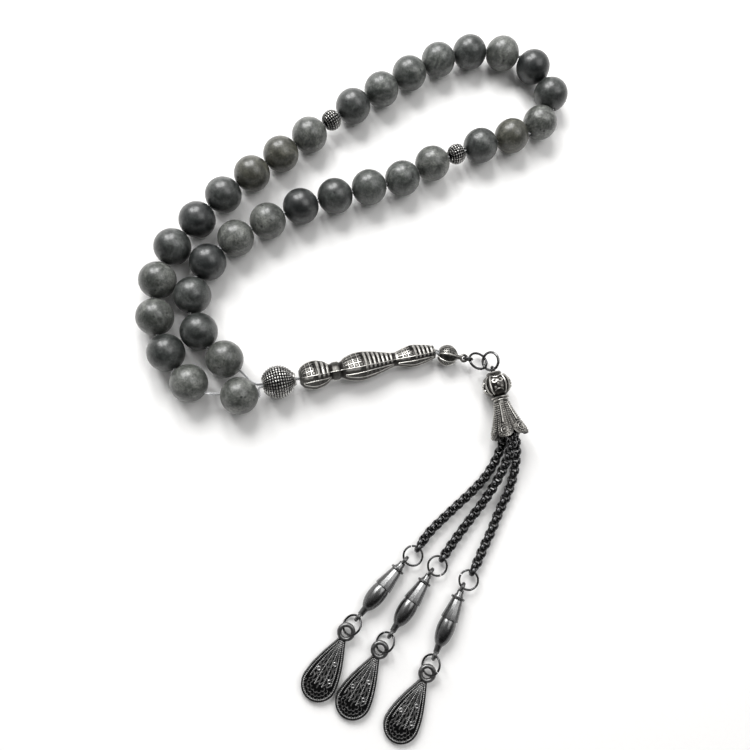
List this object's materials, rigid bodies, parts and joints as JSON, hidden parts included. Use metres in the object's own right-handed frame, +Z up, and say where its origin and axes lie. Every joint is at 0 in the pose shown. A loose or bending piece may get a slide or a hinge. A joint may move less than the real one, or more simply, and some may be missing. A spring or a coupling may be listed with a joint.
{
  "type": "misbaha prayer beads",
  "caption": "Loop of round polished stone beads on a cord, with a metal head shaft and a tassel of box chains, swivel bullets and teardrop pendants.",
  "frame": {"origin": "on the table under the middle of the whole piece", "axes": "+X to the right when the loop is away from the viewer, +Y towards the loop's far end with the tassel towards -Y, +Z up from the table"},
  "size_m": [0.1229, 0.1979, 0.0101],
  "materials": {
    "stone": "polished grey-green feldspar, mottled, slightly translucent",
    "silver": "antiqued silver, blackened in the recesses and polished on the raised relief",
    "gunmetal": "polished dark nickel plate",
    "cord": "twisted silver-grey thread with a metallic glint"
  },
  "bodies": {
    "strand": {"cord": "cord", "end_bead": "silver"},
    "bead_01": {"bead_01": "stone"},
    "bead_02": {"bead_02": "stone"},
    "bead_03": {"bead_03": "stone"},
    "bead_04": {"bead_04": "stone"},
    "bead_05": {"bead_05": "stone"},
    "bead_06": {"bead_06": "stone"},
    "bead_07": {"bead_07": "stone"},
    "bead_08": {"bead_08": "stone"},
    "bead_09": {"bead_09": "stone"},
    "bead_10": {"bead_10": "stone"},
    "bead_11": {"bead_11": "stone"},
    "divider_1": {"divider_1": "silver"},
    "bead_12": {"bead_12": "stone"},
    "bead_13": {"bead_13": "stone"},
    "bead_14": {"bead_14": "stone"},
    "bead_15": {"bead_15": "stone"},
    "bead_16": {"bead_16": "stone"},
    "bead_17": {"bead_17": "stone"},
    "bead_18": {"bead_18": "stone"},
    "bead_19": {"bead_19": "stone"},
    "bead_20": {"bead_20": "stone"},
    "bead_21": {"bead_21": "stone"},
    "bead_22": {"bead_22": "stone"},
    "divider_2": {"divider_2": "silver"},
    "bead_23": {"bead_23": "stone"},
    "bead_24": {"bead_24": "stone"},
    "bead_25": {"bead_25": "stone"},
    "bead_26": {"bead_26": "stone"},
    "bead_27": {"bead_27": "stone"},
    "bead_28": {"bead_28": "stone"},
    "bead_29": {"bead_29": "stone"},
    "bead_30": {"bead_30": "stone"},
    "bead_31": {"bead_31": "stone"},
    "bead_32": {"bead_32": "stone"},
    "bead_33": {"bead_33": "stone"},
    "ball": {"ball": "silver"},
    "head_shaft": {"head_shaft": "silver"},
    "end_link": {"end_link": "gunmetal"},
    "head_ring_a": {"head_ring_a": "gunmetal"},
    "head_ring_b": {"head_ring_b": "gunmetal"},
    "tassel_pin": {"tassel_pin": "gunmetal"},
    "scroll_bead": {"scroll_bead": "silver"},
    "petal_cap": {"petal_cap": "silver"},
    "chain_1": {"chain_1": "gunmetal"},
    "upper_ring_1": {"upper_ring_1": "gunmetal"},
    "bullet_1": {"bullet_1": "gunmetal"},
    "lower_ring_1": {"lower_ring_1": "gunmetal"},
    "pendant_1": {"pendant_1": "silver"},
    "chain_2": {"chain_2": "gunmetal"},
    "upper_ring_2": {"upper_ring_2": "gunmetal"},
    "bullet_2": {"bullet_2": "gunmetal"},
    "lower_ring_2": {"lower_ring_2": "gunmetal"},
    "pendant_2": {"pendant_2": "silver"},
    "chain_3": {"chain_3": "gunmetal"},
    "upper_ring_3": {"upper_ring_3": "gunmetal"},
    "bullet_3": {"bullet_3": "gunmetal"},
    "lower_ring_3": {"lower_ring_3": "gunmetal"},
    "pendant_3": {"pendant_3": "silver"}
  },
  "joints": [
    {"name": "end_link_swing", "type": "hinge", "parent": "strand", "child": "end_link", "pos_m": [0.02708, -0.00022, 0.00298], "axis": [0, 0, 1], "range_deg": [-12, 25]},
    {"name": "head_ring_a_lift", "type": "hinge", "parent": "end_link", "child": "head_ring_a", "pos_m": [0.02826, -0.00043, 0.00298], "axis": [0.1736, 0.9848, 0], "range_deg": [-45, 10]},
    {"name": "head_ring_b_swing", "type": "hinge", "parent": "head_ring_a", "child": "head_ring_b", "pos_m": [0.03122, -0.00096, 0.00264], "axis": [0.2269, 0.373, 0.8997], "range_deg": [-20, 30]},
    {"name": "tassel_pin_lift", "type": "hinge", "parent": "head_ring_b", "child": "tassel_pin", "pos_m": [0.035, -0.00399, 0.00382], "axis": [-0.9816, -0.1908, 0], "range_deg": [-10, 40]},
    {"name": "chain_1_swing", "type": "hinge", "parent": "tassel_pin", "child": "chain_1", "pos_m": [0.03622, -0.0165, 0.00465], "axis": [-0.0126, 0.0651, 0.9978], "range_deg": [-5, 0]},
    {"name": "chain_2_swing", "type": "hinge", "parent": "tassel_pin", "child": "chain_2", "pos_m": [0.03751, -0.01691, 0.0047], "axis": [0.9816, 0.1908, 0], "range_deg": [-5, 0]},
    {"name": "chain_3_swing", "type": "hinge", "parent": "tassel_pin", "child": "chain_3", "pos_m": [0.03855, -0.01604, 0.00465], "axis": [-0.0126, 0.0651, 0.9978], "range_deg": [0, 5]},
    {"name": "upper_ring_1_lift", "type": "hinge", "parent": "chain_1", "child": "upper_ring_1", "pos_m": [0.01286, -0.05148, 0.0016], "axis": [0.7916, -0.6111, 0], "range_deg": [-40, 15]},
    {"name": "upper_ring_2_lift", "type": "hinge", "parent": "chain_2", "child": "upper_ring_2", "pos_m": [0.01935, -0.05428, 0.0016], "axis": [-0.7936, 0.6084, 0], "range_deg": [-15, 40]},
    {"name": "upper_ring_3_lift", "type": "hinge", "parent": "chain_3", "child": "upper_ring_3", "pos_m": [0.02738, -0.058, 0.0016], "axis": [0.8638, -0.5039, 0], "range_deg": [-40, 15]},
    {"name": "bullet_1_swing", "type": "hinge", "parent": "upper_ring_1", "child": "bullet_1", "pos_m": [0.0113, -0.0535, 0.00185], "axis": [0, 0, 1], "range_deg": [-35, 0]},
    {"name": "bullet_2_swing", "type": "hinge", "parent": "upper_ring_2", "child": "bullet_2", "pos_m": [0.0178, -0.0563, 0.00185], "axis": [0, 0, 1], "range_deg": [0, 5]},
    {"name": "bullet_3_swing", "type": "hinge", "parent": "upper_ring_3", "child": "bullet_3", "pos_m": [0.0261, -0.0602, 0.00185], "axis": [0, 0, 1], "range_deg": [-5, 35]},
    {"name": "lower_ring_1_lift", "type": "hinge", "parent": "bullet_1", "child": "lower_ring_1", "pos_m": [-0.00349, -0.06842, 0.00208], "axis": [0.7396, -0.673, 0], "range_deg": [-40, 10]},
    {"name": "lower_ring_2_lift", "type": "hinge", "parent": "bullet_2", "child": "lower_ring_2", "pos_m": [0.00488, -0.07295, 0.00208], "axis": [-0.809, 0.5878, 0], "range_deg": [-10, 40]},
    {"name": "lower_ring_3_lift", "type": "hinge", "parent": "bullet_3", "child": "lower_ring_3", "pos_m": [0.01623, -0.07874, 0.00208], "axis": [0.9018, -0.4321, 0], "range_deg": [-40, 10]},
    {"name": "pendant_1_swing", "type": "hinge", "parent": "lower_ring_1", "child": "pendant_1", "pos_m": [-0.00667, -0.07208, 0.0017], "axis": [-0.0288, -0.0499, 0.9983], "range_deg": [-30, 0]},
    {"name": "pendant_2_swing", "type": "hinge", "parent": "lower_ring_2", "child": "pendant_2", "pos_m": [0.00195, -0.07682, 0.0017], "axis": [-0.0288, -0.0499, 0.9983], "range_deg": [0, 10]},
    {"name": "pendant_3_swing", "type": "hinge", "parent": "lower_ring_3", "child": "pendant_3", "pos_m": [0.01418, -0.08314, 0.0017], "axis": [-0.0288, -0.0499, 0.9983], "range_deg": [-10, 30]},
    {"name": "bead_01_slide", "type": "slide", "parent": "strand", "child": "bead_01", "axis": [-0.9957, 0.0929, 0], "range_m": [0, 0.001]},
    {"name": "petal_cap_spin", "type": "hinge", "parent": "tassel_pin", "child": "petal_cap", "pos_m": [0.0358, -0.0081, 0.0041], "axis": [0.1904, -0.9795, 0.0663], "continuous": true},
    {"name": "scroll_bead_spin", "type": "hinge", "parent": "tassel_pin", "child": "scroll_bead", "pos_m": [0.0358, -0.0081, 0.0041], "axis": [0.1904, -0.9795, 0.0663], "continuous": true},
    {"name": "ball_spin", "type": "hinge", "parent": "strand", "child": "ball", "pos_m": [-0.0243, -0.0072, 0.0046], "axis": [0.979, 0.2003, -0.0387], "continuous": true},
    {"name": "head_shaft_spin", "type": "hinge", "parent": "strand", "child": "head_shaft", "pos_m": [-0.0243, -0.0072, 0.0046], "axis": [0.979, 0.2003, -0.0387], "continuous": true},
    {"name": "spin_bead_02", "type": "hinge", "parent": "strand", "child": "bead_02", "pos_m": [-0.0475, -0.0075, 0.005], "axis": [-0.8569, 0.5155, 0], "continuous": true},
    {"name": "spin_bead_03", "type": "hinge", "parent": "strand", "child": "bead_03", "pos_m": [-0.05357, 0.00063, 0.005], "axis": [-0.4597, 0.8881, 0], "continuous": true},
    {"name": "spin_bead_04", "type": "hinge", "parent": "strand", "child": "bead_04", "pos_m": [-0.05671, 0.0103, 0.005], "axis": [-0.1399, 0.9902, 0], "continuous": true},
    {"name": "spin_bead_05", "type": "hinge", "parent": "strand", "child": "bead_05", "pos_m": [-0.05637, 0.02045, 0.005], "axis": [0.1981, 0.9802, 0], "continuous": true},
    {"name": "spin_bead_06", "type": "hinge", "parent": "strand", "child": "bead_06", "pos_m": [-0.05275, 0.02991, 0.005], "axis": [0.4992, 0.8665, 0], "continuous": true},
    {"name": "spin_bead_07", "type": "hinge", "parent": "strand", "child": "bead_07", "pos_m": [-0.04637, 0.03781, 0.005], "axis": [0.6548, 0.7558, 0], "continuous": true},
    {"name": "spin_bead_08", "type": "hinge", "parent": "strand", "child": "bead_08", "pos_m": [-0.03946, 0.04525, 0.005], "axis": [0.7236, 0.6902, 0], "continuous": true},
    {"name": "spin_bead_09", "type": "hinge", "parent": "strand", "child": "bead_09", "pos_m": [-0.0317, 0.0518, 0.005], "axis": [0.776, 0.6307, 0], "continuous": true},
    {"name": "spin_bead_10", "type": "hinge", "parent": "strand", "child": "bead_10", "pos_m": [-0.02372, 0.05804, 0.005], "axis": [0.7908, 0.612, 0], "continuous": true},
    {"name": "spin_bead_11", "type": "hinge", "parent": "strand", "child": "bead_11", "pos_m": [-0.01567, 0.06421, 0.005], "axis": [0.7939, 0.608, 0], "continuous": true},
    {"name": "spin_bead_12", "type": "hinge", "parent": "strand", "child": "bead_12", "pos_m": [-0.00304, 0.07373, 0.005], "axis": [0.8166, 0.5772, 0], "continuous": true},
    {"name": "spin_bead_13", "type": "hinge", "parent": "strand", "child": "bead_13", "pos_m": [0.00534, 0.07943, 0.005], "axis": [0.8291, 0.5591, 0], "continuous": true},
    {"name": "spin_bead_14", "type": "hinge", "parent": "strand", "child": "bead_14", "pos_m": [0.01376, 0.08506, 0.005], "axis": [0.8544, 0.5196, 0], "continuous": true},
    {"name": "spin_bead_15", "type": "hinge", "parent": "strand", "child": "bead_15", "pos_m": [0.02263, 0.08994, 0.005], "axis": [0.9183, 0.396, 0], "continuous": true},
    {"name": "spin_bead_16", "type": "hinge", "parent": "strand", "child": "bead_16", "pos_m": [0.03229, 0.09305, 0.005], "axis": [0.9866, 0.1632, 0], "continuous": true},
    {"name": "spin_bead_17", "type": "hinge", "parent": "strand", "child": "bead_17", "pos_m": [0.04244, 0.09322, 0.005], "axis": [0.9818, -0.1898, 0], "continuous": true},
    {"name": "spin_bead_18", "type": "hinge", "parent": "strand", "child": "bead_18", "pos_m": [0.05176, 0.08929, 0.005], "axis": [0.7463, -0.6656, 0], "continuous": true},
    {"name": "spin_bead_19", "type": "hinge", "parent": "strand", "child": "bead_19", "pos_m": [0.05675, 0.08046, 0.005], "axis": [0.0584, -0.9983, 0], "continuous": true},
    {"name": "spin_bead_20", "type": "hinge", "parent": "strand", "child": "bead_20", "pos_m": [0.05283, 0.0711, 0.005], "axis": [-0.6774, -0.7356, 0], "continuous": true},
    {"name": "spin_bead_21", "type": "hinge", "parent": "strand", "child": "bead_21", "pos_m": [0.04383, 0.06643, 0.005], "axis": [-0.9161, -0.401, 0], "continuous": true},
    {"name": "spin_bead_22", "type": "hinge", "parent": "strand", "child": "bead_22", "pos_m": [0.03426, 0.06297, 0.005], "axis": [-0.9345, -0.3558, 0], "continuous": true},
    {"name": "spin_bead_23", "type": "hinge", "parent": "strand", "child": "bead_23", "pos_m": [0.0197, 0.05679, 0.005], "axis": [-0.8933, -0.4495, 0], "continuous": true},
    {"name": "spin_bead_24", "type": "hinge", "parent": "strand", "child": "bead_24", "pos_m": [0.01083, 0.0519, 0.005], "axis": [-0.9191, -0.394, 0], "continuous": true},
    {"name": "spin_bead_25", "type": "hinge", "parent": "strand", "child": "bead_25", "pos_m": [0.00117, 0.04885, 0.005], "axis": [-0.9547, -0.2976, 0], "continuous": true},
    {"name": "spin_bead_26", "type": "hinge", "parent": "strand", "child": "bead_26", "pos_m": [-0.00855, 0.04586, 0.005], "axis": [-0.9505, -0.3108, 0], "continuous": true},
    {"name": "spin_bead_27", "type": "hinge", "parent": "strand", "child": "bead_27", "pos_m": [-0.01817, 0.04253, 0.005], "axis": [-0.9214, -0.3886, 0], "continuous": true},
    {"name": "spin_bead_28", "type": "hinge", "parent": "strand", "child": "bead_28", "pos_m": [-0.02724, 0.03798, 0.005], "axis": [-0.8761, -0.4821, 0], "continuous": true},
    {"name": "spin_bead_29", "type": "hinge", "parent": "strand", "child": "bead_29", "pos_m": [-0.03592, 0.03276, 0.005], "axis": [-0.7957, -0.6056, 0], "continuous": true},
    {"name": "spin_bead_30", "type": "hinge", "parent": "strand", "child": "bead_30", "pos_m": [-0.04329, 0.02577, 0.005], "axis": [-0.5662, -0.8243, 0], "continuous": true},
    {"name": "spin_bead_31", "type": "hinge", "parent": "strand", "child": "bead_31", "pos_m": [-0.04716, 0.01639, 0.005], "axis": [-0.0998, -0.995, 0], "continuous": true},
    {"name": "spin_bead_32", "type": "hinge", "parent": "strand", "child": "bead_32", "pos_m": [-0.04523, 0.00644, 0.005], "axis": [0.4498, -0.8931, 0], "continuous": true},
    {"name": "spin_bead_33", "type": "hinge", "parent": "strand", "child": "bead_33", "pos_m": [-0.03837, -0.00106, 0.005], "axis": [0.8057, -0.5924, 0], "continuous": true},
    {"name": "spin_divider_1", "type": "hinge", "parent": "strand", "child": "divider_1", "pos_m": [-0.00937, 0.06903, 0.005], "axis": [0.7985, 0.6021, 0], "continuous": true},
    {"name": "spin_divider_2", "type": "hinge", "parent": "strand", "child": "divider_2", "pos_m": [0.02691, 0.05999, 0.005], "axis": [-0.9208, -0.3901, 0], "continuous": true}
  ]
}
